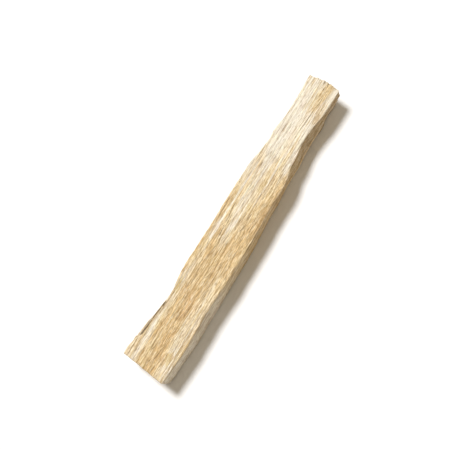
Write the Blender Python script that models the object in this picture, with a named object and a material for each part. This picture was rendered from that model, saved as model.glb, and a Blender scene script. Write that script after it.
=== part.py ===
# A palo santo stick: a short split length of aromatic wood, lying on its sawn underside.
# It lies along Y with the near end at -Y, the grain face up and the underside on z = 0.

import bmesh
import bpy
import numpy as np

MM = 0.001

# Driving dimensions, in millimetres.
THICKNESS = 8.0  # from the underside to the grain face
NEAR_END = -49.2  # where the sawn near end crosses the middle line
FAR_END = 49.9  # where the far end crosses the middle line
NEAR_SKEW = -0.15  # the near cut runs aslant: its end shifts this much per mm across
FAR_SKEW = -0.04  # the same for the far end
NEAR_UNDERCUT = 1.4  # the near end's lower edge stands this far back
FAR_UNDERCUT = 0.5
EDGE_RADIUS = 0.3  # of the worn long edges
NOMINAL_WIDTH = 12.5  # used where the edges are rounded

# The four long edges, as (place along the stick, place across it). The stick was split, so each
# edge wanders by itself.
LEFT_TOP = [
    (-50, -7.7), (-46, -7.85), (-44, -7.6), (-42.2, -7.4), (-41.5, -6.45), (-38, -6.35), (-34, -6.15),
    (-31, -5.85), (-30, -5.7), (-29.2, -5.35), (-26, -5.4), (-23, -5.8), (-20, -6.15), (-16, -6.35),
    (-10, -6.25), (-2, -6.1), (4, -6.25), (12, -6.2), (17.5, -6.1), (20, -5.65), (24, -5.1),
    (26, -4.7), (29, -5.0), (32, -4.75), (36, -4.35), (42, -4.5), (50, -4.7),
]
RIGHT_TOP = [
    (-50, 6.2), (-47, 6.35), (-43, 6.5), (-38.5, 6.75), (-35, 6.6), (-31.8, 6.65), (-28, 6.45),
    (-24, 6.5), (-20, 6.7), (-16, 6.9), (-13, 6.7), (-4.5, 6.9), (0, 6.7), (8, 6.45), (10, 6.3),
    (16, 6.3), (18, 6.05), (19.3, 5.8), (20.3, 5.35), (22, 5.15), (24, 5.2), (26, 4.9), (28, 4.45),
    (31.5, 4.3), (35, 4.5), (37.5, 4.85), (40, 5.3), (45, 5.45), (50, 5.65),
]
LEFT_BOTTOM = [
    (-50, -7.3), (-40, -7.3), (-30, -6.5), (-15, -6.8), (0, -6.4), (15, -6.0), (30, -5.3), (42, -4.6),
    (50, -4.8),
]
RIGHT_BOTTOM = [
    (-50, 5.5), (-48, 6.35), (-46.3, 6.7), (-35.1, 7.25), (-20.2, 7.2), (-11.6, 7.05), (-2.3, 6.7),
    (7.5, 6.05), (12.4, 6.0), (17.4, 5.55), (24, 5.4), (29, 5.3), (35.1, 5.0), (38.5, 5.3), (40.2, 5.2),
    (41.7, 4.75), (43.5, 4.7), (46.5, 5.0), (50, 5.1),
]

# Long cracks in the grain face: points of (along, across), then half width and depth.
CRACKS = [
    ([(5.6, -3.35), (2.5, -3.2), (0, -2.75), (-1.9, -2.6)], 0.4, 0.6),
    ([(-2.6, -2.35), (-7.2, -2.2)], 0.36, 0.4),
    ([(4.4, 2.65), (1.7, 2.35)], 0.38, 0.5),
    ([(0.6, 2.6), (-2.2, 2.3)], 0.36, 0.35),
    ([(-5.9, -1.35), (-9.4, -1.3)], 0.36, 0.35),
    ([(48.9, 2.4), (44, 2.45), (42.4, 2.3), (38, 1.95), (30.0, 1.6)], 0.42, 0.5),
    ([(-36.5, -1.9), (-46.5, -1.75)], 0.36, 0.25),
    ([(-43.2, 2.6), (-48.4, 1.7)], 0.36, 0.28),
    ([(23.4, 0.55), (20.6, 0.75)], 0.36, 0.3),
]
CRACK_PULL = 2.5  # columns of points on either side that give way to a crack
CRACK_EASE = 3.0  # mm over which they do so

# Lengthwise ledges where layers of the wood parted: height as a share of the thickness, and the
# step outwards of what lies under it.
RIGHT_LEDGES = [(0.7, 0.35), (0.36, -0.32)]
LEFT_LEDGES = [(0.78, 0.35), (0.45, -0.4), (0.2, 0.35)]
LEDGE_SOFTNESS = 0.05
LEDGE_WANDER = 0.05  # how far a ledge rises and falls along the stick
LEDGE_WAVE = 16.0  # mm along the stick from one rise to the next
LEDGE_SIDE_PATCH = 5  # each side, and each height, takes its own patch of the noise
LEDGE_HEIGHT_PATCH = 30
LEDGE_FADE = 0.15  # ledges run out this close to the underside
LEDGE_NEAR_SHARE = 0.3  # they stand out less towards the near end
LEDGE_GROW_FROM = -15.0
LEDGE_GROW_TO = 25.0

# A thin splinter stands off the left side near the near end, behind a narrow split.
SPLINTER_FROM = -43.0
SPLINTER_TO = -33.5
SPLINTER_OUT = 0.65
SPLINTER_TOP = 0.88  # its upper and lower edges, as shares of the thickness
SPLINTER_BOTTOM = 0.3
SPLINTER_TAPER = 2.5  # mm at either end
SPLIT_WIDTH = 0.35
SPLIT_DEPTH = 0.4

# The upper right edge split away along a slanting facet.
FACET_FROM = 17.5
FACET_TO = 39.0
FACET_TAPER = 4.0
FACET_OUT = 0.75
FACET_HEIGHT = 0.56  # the facet's foot, as a share of the thickness

# The far right corner is broken: the lower layer ends sooner, under a notch.
BROKEN_CORNER_BACK = 0.35
BROKEN_CORNER_HEIGHT = 0.66
BROKEN_CORNER_FROM = 2.5  # where across the stick the break starts
BROKEN_CORNER_FADE = 2.0
FAR_NOTCH_BOTTOM = 0.4
FAR_NOTCH_TOP = 0.62
FAR_NOTCH_BACK = 0.9

# A chip is out of the near right corner.
CHIP_BOTTOM = 0.66
CHIP_TOP = 0.9
CHIP_SOFTNESS = 0.08
CHIP_FROM = 5.2
CHIP_FADE = 0.8
CHIP_BACK = 0.55

# Relief of the faces: its height, its lumps' size across and along (up the thickness, on an end),
# and which patch of the noise it takes. The top is waved and fluted along the grain.
RELIEF = {
    "top_wave": (0.12, 5.0, 15.0, 2),
    "top_flutes": (0.16, 1.5, 22.0, 12),
    "left_wave": (0.13, 2.0, 7.0, 23),
    "right_wave": (0.12, 2.0, 7.0, 38),
    "near_end_saw": (0.12, 1.7, 1.6, 5),
    "far_end_tear": (0.3, 1.5, 2.0, 20),
    "edge_wear": (0.12, 1.0, 6.0, 50),
    "hollows": (0.9, 3.0, 13.0, 31),
}
EDGE_PATCHES = (9, 5)  # the wear of the long edges differs across and up by these
HOLLOW_LEAST = 0.15  # the underside stays flat where the noise is under this
FLAT_STRIP = 1.6  # half width of the middle strip of the underside, which stays flat
END_CROWN = 0.014  # how much the far end falls back towards its corners
RELIEF_DEPTH = 2.5  # how deep in the wood the relief of the upper and under faces fades out
SIDE_RELIEF_DEPTH = 1.2

# The grid of faces: cuts across, along and up. They sit closer together at the edges.
CUTS_ACROSS = 24
CUTS_ALONG = 64
CUTS_UP = 9
EDGE_CUT = 0.03  # the first cut from an edge, as a share of the way across or up
END_CUT = 0.006

WOOD_COLOUR = (0.74, 0.55, 0.34, 1.0)
WOOD_ROUGHNESS = 0.72
NOISE_SIZE = 64
NOISE_SEED = 11
TINY = 1e-9  # keeps a distance from being zero
CUT_TOLERANCE = 1e-7  # of the unit cube's size
noise_table = np.random.default_rng(NOISE_SEED).uniform(-1.0, 1.0, (NOISE_SIZE, NOISE_SIZE))


def clear_scene():
    for item in list(bpy.data.objects):
        bpy.data.objects.remove(item, do_unlink=True)


def ease(t):
    t = np.clip(t, 0.0, 1.0)
    return t * t * (3.0 - 2.0 * t)


def mix(a, b, share):
    return a + (b - a) * share


def noise(a, b):
    # Smooth noise from -1 to 1 over the plane of a and b, with lumps about 1 across.
    column = np.floor(a).astype(int)
    row = np.floor(b).astype(int)
    share_a = ease(a - column)
    share_b = ease(b - row)
    corner = [
        [noise_table[(column + i) % NOISE_SIZE, (row + j) % NOISE_SIZE] for j in (0, 1)] for i in (0, 1)
    ]
    low = mix(corner[0][0], corner[0][1], share_b)
    high = mix(corner[1][0], corner[1][1], share_b)
    return mix(low, high, share_a)


def relief(name, across, along):
    height, size_across, size_along, patch = RELIEF[name]
    return height * noise(across / size_across + patch, along / size_along + patch)


def line_at(points, along):
    # The line through points of (along, across), read at every value of along. Split wood runs in
    # straight lengths, so it isn't rounded.
    places, values = np.array(sorted(points), dtype=float).T
    return np.interp(along, places, values)


def bump_between(value, start, end, fade):
    return ease((value - start) / fade) * ease((end - value) / fade)


def ledge_steps(ledges, y, w, side):
    # How far the layers under the ledges stand out at a height w.
    out = np.zeros_like(w)
    grown = ease((y - LEDGE_GROW_FROM) / (LEDGE_GROW_TO - LEDGE_GROW_FROM))
    share = mix(LEDGE_NEAR_SHARE, 1.0, grown)
    for height, step in ledges:
        patch = np.full_like(y, LEDGE_HEIGHT_PATCH * height)
        rise = noise(y / LEDGE_WAVE + LEDGE_SIDE_PATCH * side, patch)
        under = ease((height + LEDGE_WANDER * rise - w) / LEDGE_SOFTNESS)
        out = out + share * step * under * ease(w / LEDGE_FADE)
    return out


def left_side(y, w):
    x = mix(line_at(LEFT_BOTTOM, y), line_at(LEFT_TOP, y), w)
    splinter = bump_between(y, SPLINTER_FROM, SPLINTER_TO, SPLINTER_TAPER)
    upper = ease((SPLINTER_TOP - w) / LEDGE_SOFTNESS)
    lower = ease((w - SPLINTER_BOTTOM) / SPLINTER_BOTTOM)
    return x - ledge_steps(LEFT_LEDGES, y, w, 0) - SPLINTER_OUT * splinter * upper * lower


def right_side(y, w):
    x = mix(line_at(RIGHT_BOTTOM, y), line_at(RIGHT_TOP, y), w)
    facet = bump_between(y, FACET_FROM, FACET_TO, FACET_TAPER)
    foot = ease((1.0 - w) / (1.0 - FACET_HEIGHT)) * ease(w / FACET_HEIGHT)
    return x + ledge_steps(RIGHT_LEDGES, y, w, 1) + FACET_OUT * facet * foot


def near_end(x, w):
    sawn = relief("near_end_saw", x, w * THICKNESS)
    chip = ease((x - CHIP_FROM) / CHIP_FADE) * bump_between(w, CHIP_BOTTOM, CHIP_TOP, CHIP_SOFTNESS)
    return NEAR_END + NEAR_SKEW * x + NEAR_UNDERCUT * (1.0 - w) + sawn + CHIP_BACK * chip


def far_end(x, w):
    tear = relief("far_end_tear", x, w * THICKNESS)
    corner = ease((x - BROKEN_CORNER_FROM) / BROKEN_CORNER_FADE)
    lower = ease((BROKEN_CORNER_HEIGHT - w) / (2 * LEDGE_SOFTNESS))
    notch = bump_between(w, FAR_NOTCH_BOTTOM, FAR_NOTCH_TOP, LEDGE_SOFTNESS)
    end = FAR_END + FAR_SKEW * x - END_CROWN * x ** 2 - FAR_UNDERCUT * (1.0 - w)
    return end + tear - corner * (BROKEN_CORNER_BACK * lower + FAR_NOTCH_BACK * notch)


def round_edges(u, v, w):
    # Draws the unit cube's edges in, so that they are round on the stick.
    y = (v - 0.5) * (FAR_END - NEAR_END)
    long_edge = EDGE_PATCHES[0] * np.round(u) + EDGE_PATCHES[1] * np.round(w)
    radius = EDGE_RADIUS + relief("edge_wear", long_edge, y)
    size = np.array([[NOMINAL_WIDTH], [FAR_END - NEAR_END], [THICKNESS]])
    from_middle = (np.array([u, v, w]) - 0.5) * size
    past = np.clip(np.abs(from_middle) - (size / 2 - radius), 0.0, None)
    distance = np.maximum(np.linalg.norm(past, axis=0), TINY)
    drawn_in = past * (1.0 - past.max(axis=0) / distance)
    return 0.5 + (from_middle - np.sign(from_middle) * drawn_in) / size


def crack_ends(points):
    return min(points)[0], max(points)[0]


def share_across(points, y):
    # Where a crack lies across the grain face, from 0 at the left edge to 1 at the right.
    left = line_at(LEFT_TOP, y)
    return (line_at(points, y) - left) / (line_at(RIGHT_TOP, y) - left)


def draw_to_cracks(u, y, columns):
    # Moves the nearest row of points onto each crack, so that its bottom is one clean line.
    spacing = np.median(np.diff(columns))
    for points, half_width, depth in CRACKS:
        start, end = crack_ends(points)
        middle = share_across(points, 0.5 * (start + end))
        column = columns[np.argmin(np.abs(columns - middle))]
        near = np.clip(1.0 - np.abs(u - column) / (CRACK_PULL * spacing), 0.0, 1.0)
        along = bump_between(y, start - CRACK_EASE, end + CRACK_EASE, CRACK_EASE)
        u = u + (share_across(points, y) - column) * near * along
    return u


def crack_depth(x, y):
    deepest = np.zeros_like(x)
    for points, half_width, depth in CRACKS:
        start, end = crack_ends(points)
        across = np.clip(1.0 - np.abs(x - line_at(points, y)) / half_width, 0.0, 1.0)
        along = np.sqrt(np.clip((y - start) * (end - y), 0.0, None)) / (0.5 * (end - start))
        deepest = np.maximum(deepest, depth * across * along)
    return deepest


def top_relief(x, y):
    return relief("top_wave", x, y) + relief("top_flutes", x, y) - crack_depth(x, y)


def bottom_relief(x, y):
    # Hollows reach up from the underside, and never below it.
    hollow = np.clip(relief("hollows", x, y) - HOLLOW_LEAST, 0.0, None)
    return hollow * ease(np.abs(x) - FLAT_STRIP)


def stick_points(u, v, w, columns):
    # Places points of the unit cube (u across, v along, w up) on the stick's surface.
    u, v, w = round_edges(u, v, w)
    middle_x = (u - 0.5) * NOMINAL_WIDTH
    y = mix(near_end(middle_x, w), far_end(middle_x, w), v)
    u = draw_to_cracks(u, y, columns)
    left = left_side(y, w)
    right = right_side(y, w)
    x = mix(left, right, u)
    z = w * THICKNESS

    # Relief is full on its own face and fades out within the wood, so that edges stay whole.
    near_top = np.clip(1.0 - (THICKNESS - z) / RELIEF_DEPTH, 0.0, 1.0)
    near_bottom = np.clip(1.0 - z / RELIEF_DEPTH, 0.0, 1.0)
    near_left = np.clip(1.0 - (x - left) / SIDE_RELIEF_DEPTH, 0.0, 1.0)
    near_right = np.clip(1.0 - (right - x) / SIDE_RELIEF_DEPTH, 0.0, 1.0)
    moved_z = z + top_relief(x, y) * near_top + bottom_relief(x, y) * near_bottom
    moved_x = x - relief("left_wave", z, y) * near_left + relief("right_wave", z, y) * near_right

    # The split behind the splinter opens in the left side, just under the grain face.
    beside = np.clip(1.0 - np.abs(x - line_at(LEFT_TOP, y)) / SPLIT_WIDTH, 0.0, 1.0)
    split = bump_between(y, SPLINTER_FROM, SPLINTER_TO, SPLINTER_TAPER)
    moved_z = moved_z - SPLIT_DEPTH * beside * split * near_top
    return moved_x, y, moved_z


def cut_places(count, first):
    # Places of the cuts from 0 to 1, with one extra close to either end.
    inner = np.linspace(0.0, 1.0, count + 1)[1:-1]
    return np.concatenate(([first], inner, [1.0 - first]))


def gridded_cube(across, along, up):
    # A unit cube whose faces are cut into a grid.
    grid = bmesh.new()
    bmesh.ops.create_cube(grid, size=1.0)
    bmesh.ops.translate(grid, verts=grid.verts, vec=(0.5, 0.5, 0.5))
    for axis, places in enumerate((across, along, up)):
        normal = [0.0, 0.0, 0.0]
        normal[axis] = 1.0
        for place in places:
            point = [0.0, 0.0, 0.0]
            point[axis] = place
            geometry = grid.verts[:] + grid.edges[:] + grid.faces[:]
            bmesh.ops.bisect_plane(
                grid, geom=geometry, dist=CUT_TOLERANCE, plane_co=point, plane_no=normal
            )
    return grid


def wood_material():
    wood = bpy.data.materials.new("palo_santo_wood")
    wood.use_nodes = True
    shader = wood.node_tree.nodes["Principled BSDF"]
    shader.inputs["Base Color"].default_value = WOOD_COLOUR
    shader.inputs["Roughness"].default_value = WOOD_ROUGHNESS
    shader.inputs["Metallic"].default_value = 0.0
    return wood


def make_stick():
    across = cut_places(CUTS_ACROSS, EDGE_CUT)
    along = cut_places(CUTS_ALONG, END_CUT)
    up = cut_places(CUTS_UP, EDGE_CUT * NOMINAL_WIDTH / THICKNESS)
    grid = gridded_cube(across, along, up)
    shares = np.array([vert.co[:] for vert in grid.verts]).T
    x, y, z = stick_points(*shares, across)

    # The box is centred over the origin, with the underside on z = 0.
    x = x - 0.5 * (x.min() + x.max())
    y = y - 0.5 * (y.min() + y.max())
    z = z - z.min()
    for vert, place in zip(grid.verts, zip(x, y, z)):
        vert.co = [length * MM for length in place]
    bmesh.ops.recalc_face_normals(grid, faces=grid.faces)
    bmesh.ops.triangulate(grid, faces=grid.faces)

    mesh = bpy.data.meshes.new("stick")
    grid.to_mesh(mesh)
    grid.free()
    mesh.materials.append(wood_material())
    stick = bpy.data.objects.new("stick", mesh)
    bpy.context.collection.objects.link(stick)
    return stick


clear_scene()
make_stick()
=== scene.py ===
import math

import bpy
import numpy as np
from mathutils import Matrix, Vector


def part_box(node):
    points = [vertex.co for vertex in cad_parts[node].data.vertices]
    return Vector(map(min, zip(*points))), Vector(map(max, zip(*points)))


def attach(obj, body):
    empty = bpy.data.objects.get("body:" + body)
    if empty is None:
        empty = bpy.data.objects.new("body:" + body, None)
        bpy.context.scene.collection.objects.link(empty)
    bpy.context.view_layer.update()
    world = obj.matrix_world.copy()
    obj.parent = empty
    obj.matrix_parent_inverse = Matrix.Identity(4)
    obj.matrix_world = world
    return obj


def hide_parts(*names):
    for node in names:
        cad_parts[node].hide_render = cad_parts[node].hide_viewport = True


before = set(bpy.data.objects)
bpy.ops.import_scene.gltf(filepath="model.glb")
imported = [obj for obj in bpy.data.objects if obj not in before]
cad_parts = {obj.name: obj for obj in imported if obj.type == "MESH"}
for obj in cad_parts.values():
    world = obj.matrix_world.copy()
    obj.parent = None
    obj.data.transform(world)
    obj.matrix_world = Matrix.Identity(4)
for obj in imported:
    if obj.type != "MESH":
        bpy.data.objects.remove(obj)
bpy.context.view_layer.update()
mm = 0.001

# Lengths are in mm. The stick lies along Y with its near end at -Y. Heights that are shares run
# from 0 at the underside to 1 at the grain face.
stick = {
    "thickness": 8.0,
    "nominalWidth": 12.5,
    "edgeRadius": 0.3,
    "edgeRadiusLeast": 0.1,
    # the outline, as points of (along, across)
    "leftTop": [
        (-50, -7.7), (-46, -7.85), (-44, -7.6), (-42.2, -7.4), (-41.5, -6.3), (-38, -6.2),
        (-34, -6.05), (-31, -5.85), (-30, -5.7), (-29.2, -5.35), (-26, -5.4), (-23, -5.8),
        (-20, -6.15), (-16, -6.35), (-10, -6.25), (-2, -6.1), (4, -6.25), (12, -6.2),
        (17.5, -6.1), (20, -5.65), (24, -5.1), (26, -4.7), (29, -5.0), (32, -4.75),
        (36, -4.35), (42, -4.5), (50, -4.7),
    ],
    "rightTop": [
        (-50, 6.2), (-47, 6.35), (-43, 6.5), (-38.5, 6.75), (-35, 6.6), (-31.8, 6.65),
        (-28, 6.45), (-24, 6.5), (-20, 6.7), (-16, 6.9), (-13, 6.7), (-4.5, 6.9), (0, 6.7),
        (8, 6.45), (10, 6.3), (16, 6.3), (18, 6.05), (19.3, 5.8), (20.3, 5.35), (22, 5.15),
        (24, 5.2), (26, 4.9), (28, 4.45), (31.5, 4.3), (35, 4.5), (37.5, 4.85), (40, 5.3),
        (45, 5.45), (50, 5.65),
    ],
    "leftBottom": [
        (-50, -7.3), (-40, -7.3), (-30, -6.5), (-15, -6.8), (0, -6.4), (15, -6.0), (30, -5.3),
        (42, -4.6), (50, -4.8),
    ],
    "rightBottom": [
        (-50, 5.5), (-48, 6.35), (-46.3, 6.7), (-35.1, 7.25), (-20.2, 7.2), (-11.6, 7.05),
        (-2.3, 6.7), (7.5, 6.05), (12.4, 6.0), (17.4, 5.55), (24, 5.4), (29, 5.3), (35.1, 5.0),
        (38.5, 5.3), (40.2, 5.2), (41.7, 4.75), (43.5, 4.7), (46.5, 5.0), (50, 5.1),
    ],
    "calmOver": 4.0,               # away from the edge, the outline's steps are evened over this
    "calmFrom": 0.16,              # share of the width where an edge still shows its steps
    # ledges of the sides: height, and the step outwards of the layer under it
    "rightLedges": [(0.7, 0.35), (0.36, -0.32)],
    "leftLedges": [(0.78, 0.35), (0.45, -0.4), (0.2, 0.35)],
    "ledgeSoftness": 0.03,
    "ledgeWander": 0.05,
    "ledgeWave": 16.0,
    "ledgeFade": 0.15,
    "ledgeNearShare": 0.3,         # the ledges stand out less towards the near end
    "ledgeGrow": (-15.0, 25.0),
    # the wood that stands out under the loose sliver, on the left side
    "splinter": (-43.0, -33.5),
    "splinterOut": 0.7,
    "splinterTop": 0.5,
    "splinterBottom": 0.3,
    "splinterTaper": 2.5,
    # the facet on the right side
    "facet": (17.5, 39.0),
    "facetTaper": 4.0,
    "facetOut": 0.75,
    "facetHeight": 0.56,
    # the sawn near end
    "nearEnd": -49.2,
    "nearSkew": -0.15,
    "nearUndercut": 1.4,
    "sawSlant": 0.4,
    "nearNotch": (0.66, 0.9),
    "nearNotchFrom": 5.2,
    "nearNotchFade": (0.8, 0.08),  # across, in mm, and up, as a share
    "nearNotchBack": 0.55,
    # the torn far end and its broken corner
    "farEnd": 49.9,
    "farSkew": -0.04,
    "farCrown": 0.014,
    "farUndercut": 0.5,
    "cornerFrom": 2.5,
    "cornerFade": 2.0,
    "cornerHeight": 0.66,
    "cornerBack": 0.35,
    "cornerNotch": (0.4, 0.62),
    "cornerNotchBack": 0.9,
    # relief: height, lump size across, lump size along, patch of the noise
    "relief": {
        "topWave": (0.1, 5.0, 15.0, 2),
        "topFlutes": (0.1, 1.5, 22.0, 12),
        "topRidges": (0.06, 0.58, 26.0, 71),
        "topFibres": (0.06, 0.3, 8.0, 93),
        "sideRidges": (0.06, 0.7, 20.0, 33),
        "sideFibres": (0.06, 0.3, 8.0, 61),
        "leftWave": (0.1, 2.0, 7.0, 23),
        "rightWave": (0.09, 2.0, 7.0, 38),
        "nearEndSaw": (0.12, 1.7, 1.6, 5),
        "nearEndScratch": (0.035, 2.4, 0.2, 44),
        "farEndTear": (0.22, 1.5, 2.0, 20),
        "farEndStrands": (0.16, 0.42, 0.5, 66),
        "edgeWear": (0.12, 1.0, 6.0, 50),
        "edgeNibble": (0.1, 1.0, 1.1, 83),
        "hollows": (0.9, 3.0, 13.0, 31),
        "bottomSaw": (0.03, 2.2, 0.7, 15),
    },
    "reliefDepth": 2.5,            # how far into the block the relief of a face fades out
    "sideReliefDepth": 1.2,
    "flatStrip": 1.6,              # the underside has no hollows this near its middle line
    "hollowLeast": 0.15,
    "bottomSawSlant": 0.3,
    "poreDepth": 0.15,
    "poreLeast": 0.45,
    "poreSoftness": 0.3,
    "poreSize": (0.28, 4.5),
    "bottomPoreShare": 0.6,
    "layerWaver": 0.35,            # how much the layers of the sides rise and fall
    # the grain wanders and runs around a small knot, which has a darker ring
    "grainWander": 0.5,
    "knot": (-43.6, 3.2),
    "knotSize": 1.4,
    "knotPull": 0.43,
    "ringReach": 0.95,
    "ringWidth": 0.22,
    "ringShare": 0.75,
    # cracks in the grain face: points of (along, across), half width, depth, and darkness, which
    # is painted shade inside the crack
    "cracks": [
        ([(5.6, -3.35), (2.5, -3.2), (0, -2.75), (-1.9, -2.6)], 0.15, 0.5, 0.62),
        ([(-2.6, -2.35), (-7.2, -2.2)], 0.13, 0.35, 0.55),
        ([(4.4, 2.65), (1.7, 2.35)], 0.15, 0.45, 0.7),
        ([(0.6, 2.6), (-2.2, 2.3)], 0.12, 0.35, 0.6),
        ([(-5.9, -1.35), (-9.4, -1.3)], 0.13, 0.35, 0.6),
        ([(48.9, 2.4), (44, 2.45), (42.4, 2.3), (38, 1.95), (30.0, 1.6)], 0.14, 0.4, 0.38),
        ([(43.4, 2.6), (41.6, 2.8)], 0.12, 0.3, 0.5),
        ([(48.4, 1.5), (46.8, 1.25)], 0.14, 0.35, 0.6),
        ([(44.3, -0.4), (40.3, -0.8)], 0.1, 0.25, 0.4),
        ([(23.4, 0.55), (20.6, 0.75)], 0.12, 0.3, 0.5),
        ([(19.6, -2.8), (17.6, -2.5)], 0.1, 0.25, 0.4),
        ([(-36.5, -1.9), (-46.5, -1.75)], 0.1, 0.22, 0.35),
        ([(-40.2, 1.25), (-48.8, 0.25)], 0.11, 0.25, 0.4),
        ([(-43.2, 2.6), (-48.4, 1.7)], 0.12, 0.28, 0.45),
        ([(-12, 3.1), (-22, 3.4)], 0.1, 0.2, 0.3),
        ([(-26.5, 1.9), (-31.5, 1.55)], 0.12, 0.2, 0.4),
        ([(-41.7, -6.95), (-43.0, -7.1)], 0.13, 0.25, 0.45),
        ([(51, 0.65), (48.9, 0.5)], 0.3, 0.3, 0.6),
        ([(51, 1.75), (48.8, 1.8)], 0.3, 0.3, 0.6),
        ([(49.4, -0.6), (46.8, -0.55)], 0.12, 0.2, 0.45),
        ([(-13.6, -2.55), (-15.9, -2.75)], 0.12, 0.22, 0.45),
        ([(-16.4, 2.0), (-17.6, 1.2), (-18.7, 0.6)], 0.12, 0.2, 0.45),
        ([(-17.2, 3.0), (-18.8, 3.35)], 0.13, 0.2, 0.45),
        ([(-18.2, -1.9), (-22.0, -1.75)], 0.11, 0.2, 0.4),
        ([(10.6, 1.9), (9.2, 2.0)], 0.13, 0.2, 0.4),
        ([(8.6, 1.1), (7.0, 1.15)], 0.11, 0.2, 0.35),
        ([(7.4, -2.15), (6.2, -2.25)], 0.12, 0.2, 0.4),
        ([(-40.4, 2.0), (-41.6, 1.9)], 0.13, 0.2, 0.5),
        ([(-41.4, -0.9), (-43.3, -1.3)], 0.12, 0.2, 0.45),
        ([(-45.4, -0.1), (-47.3, -0.45)], 0.12, 0.2, 0.45),
        ([(-9.0, 3.7), (-10.2, 3.6)], 0.13, 0.2, 0.4),
        ([(-2.0, 3.65), (-2.7, 3.6)], 0.2, 0.25, 0.5),
    ],
    "crackWaver": 0.08,
    "crackPull": 12.0,             # columns of the mesh that give way to a crack
    "crackEase": 3.0,
    # the strip along the left edge, where the sliver parted, cut down and painted dark as the
    # shade of the gap beside the sliver: its span, width and depth
    "splitStrip": (-41.9, -29.2),
    "splitStripWidth": [(-42, 0.3), (-37, 0.32), (-34, 0.52), (-30, 0.7)],
    "splitStripRagged": 0.12,
    "splitStripDepth": 0.4,
    "splitStripFoot": 6.8,         # it fades out below this height
    # paleness along the grain face and the sides, and patches that add to it or colour it:
    # across, along, half width, half length, amount
    "paleAlong": [
        (-50, 0.42), (-40, 0.34), (-28, 0.26), (-18, 0.32), (-5, 0.38), (5, 0.52), (14, 0.66),
        (23, 1.0), (30, 1.15), (40, 1.12), (50, 0.98),
    ],
    "paleSide": [
        (-50, 1.2), (-24, 1.1), (-10, 0.55), (0, 0.22), (12, 0.35), (24, 0.6), (50, 0.75),
    ],
    "palePatches": [
        (-5.0, -45.0, 2.6, 8.0, 0.32),
        (5.0, -46.0, 1.2, 6.0, 0.3),
        (4.2, -30.0, 1.8, 14.0, 0.34),
        (0.8, -44.0, 1.5, 7.0, -0.24),
        (-0.6, 6.0, 2.2, 9.0, 0.24),
        (-0.4, -4.5, 1.0, 4.5, 0.4),
        (-4.2, -4.6, 1.0, 3.2, 0.38),
        (4.6, 3.0, 1.6, 9.0, -0.36),
        (4.4, -8.0, 1.6, 8.0, -0.16),
        (1.5, -9.0, 0.6, 4.0, -0.26),
        (-2.7, -12.0, 0.7, 4.0, -0.26),
        (2.2, 46.0, 1.3, 5.0, -0.42),
        (4.3, 40.0, 0.9, 3.0, -0.3),
        (0.3, 43.0, 1.2, 4.0, -0.16),
        (-3.4, 43.0, 1.2, 7.0, 0.16),
        (-4.4, -27.0, 1.3, 10.0, 0.26),
        (-4.2, 14.0, 1.4, 5.0, 0.3),
        (-4.6, -16.0, 1.3, 26.0, 0.2),
        (-2.8, 33.0, 1.4, 9.0, 0.28),
        (2.8, 24.0, 1.2, 7.0, -0.22),
        (4.4, 15.0, 1.2, 4.5, -0.3),
        (1.5, -20.0, 1.4, 16.0, -0.08),
    ],
    "orangePatches": [
        (0.8, -27.4, 1.2, 4.6, 0.7),
        (1.3, -30.6, 0.7, 1.6, 0.35),
        (-2.3, -34.0, 0.7, 1.4, 0.6),
        (-1.2, -24.2, 2.4, 1.4, 0.45),
        (-4.9, -30.4, 0.5, 1.2, 0.35),
        (4.9, -42.4, 0.8, 0.8, 0.9),
        (2.6, -44.6, 0.6, 1.2, 0.8),
        (0.6, -41.0, 0.9, 3.0, 0.3),
        (4.3, 39.5, 0.7, 2.0, 0.3),
        (-5.0, -4.6, 0.8, 0.9, 0.4),
        (-5.0, -42.7, 0.9, 0.7, 0.4),
    ],
    "yellowPatches": [
        (-4.4, -23.8, 0.8, 1.8, 0.8),
        (-1.6, -47.7, 1.3, 0.6, 0.6),
        (4.0, -43.4, 1.3, 1.4, 0.9),
        (-2.3, 14.2, 0.6, 0.8, 0.5),
        (0.9, 5.4, 1.0, 1.3, 0.45),
        (-3.2, 3.2, 0.9, 2.2, 0.35),
        (-4.7, -10.9, 0.7, 0.8, 0.4),
    ],
    "patchRagged": (0.45, 1.6),    # how far the edges of a patch stray across and along
    # how brown the right side is along the stick, in its upper and lower halves
    "brownUpper": [
        (-50, 0.04), (-20, 0.12), (0, 0.42), (14, 0.44), (24, 0.56), (30, 0.76), (50, 0.78),
    ],
    "brownLower": [
        (-50, 0.0), (-10, 0.14), (0, 0.12), (16, 0.2), (28, 0.42), (36, 0.3), (50, 0.4),
    ],
    "brownHalves": 0.5,            # height where the two halves meet
    "brownLeft": 0.25,
    "brownEnds": 0.35,
    "underEdgeShade": (0.86, 1.01),     # painted shade: a brown line under the edge of the grain face
    "underEdgeShadeShare": 0.6,
    "footHeight": 0.12,            # painted shade: a dark line at the foot of the right side
    "footFrom": 22.0,
    "footShadeBrown": 0.5,
    "footShade": 0.45,
    "flecksOnPale": 0.46,          # flecks stand out less on the pale far half and on the sides
    "flecksOnSides": 0.75,
    "cellsAcross": 108,
    "cellsAlong": 240,
    "cellsUp": 62,
    "crowding": 0.3,               # how much closer the cells sit at the edges
    "noiseSize": 64,
    "seed": 11,
}
noiseTable = np.random.default_rng(stick["seed"]).uniform(
    -1.0, 1.0, (stick["noiseSize"], stick["noiseSize"]))


def ease(t):
    t = np.clip(t, 0.0, 1.0)
    return t * t * (3.0 - 2.0 * t)


def blendTo(a, b, share):
    return a + (b - a) * share


def noiseAt(a, b):
    # smooth noise from -1 to 1 with lumps about 1 across
    size = stick["noiseSize"]
    column = np.floor(a).astype(int)
    row = np.floor(b).astype(int)
    shareA = ease(a - column)
    shareB = ease(b - row)
    low = blendTo(noiseTable[column % size, row % size],
                  noiseTable[column % size, (row + 1) % size], shareB)
    high = blendTo(noiseTable[(column + 1) % size, row % size],
                   noiseTable[(column + 1) % size, (row + 1) % size], shareB)
    return blendTo(low, high, shareA)


def reliefAt(name, across, along):
    height, sizeAcross, sizeAlong, patch = stick["relief"][name]
    return height * noiseAt(across / sizeAcross + patch, along / sizeAlong + patch)


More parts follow.
